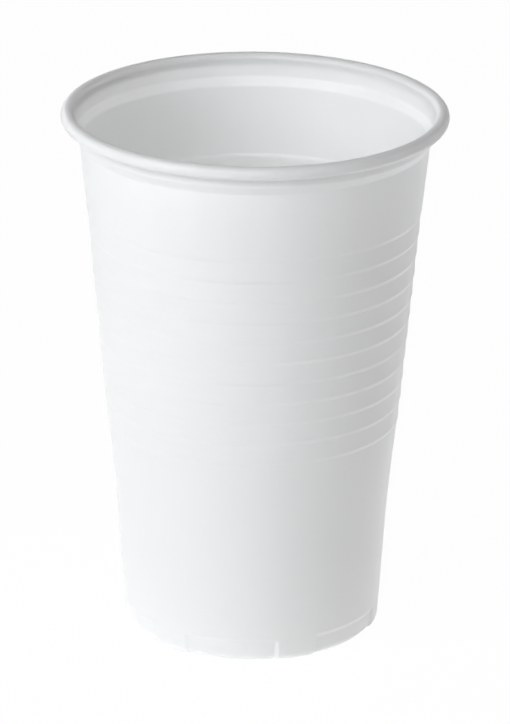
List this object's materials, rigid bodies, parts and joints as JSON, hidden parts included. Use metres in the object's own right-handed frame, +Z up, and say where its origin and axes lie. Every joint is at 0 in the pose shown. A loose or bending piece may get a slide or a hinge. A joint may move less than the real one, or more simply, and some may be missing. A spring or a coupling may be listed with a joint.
{
  "type": "plastic cup",
  "caption": "Disposable drinking cup formed from thin white plastic sheet: a tapered wall with a rolled rim, a stacking shoulder, grip rings and sunk panels round the foot.",
  "frame": {"origin": "centre of the foot, on the surface that the cup stands on", "axes": "+Z up along the cup's axis, towards the mouth; -Y towards the picture's camera"},
  "size_m": [0.0702, 0.0702, 0.099],
  "materials": {
    "cup_plastic": "smooth semi-gloss white sheet, slightly translucent"
  },
  "bodies": {
    "root": {"cup": "cup_plastic"}
  },
  "joints": []
}
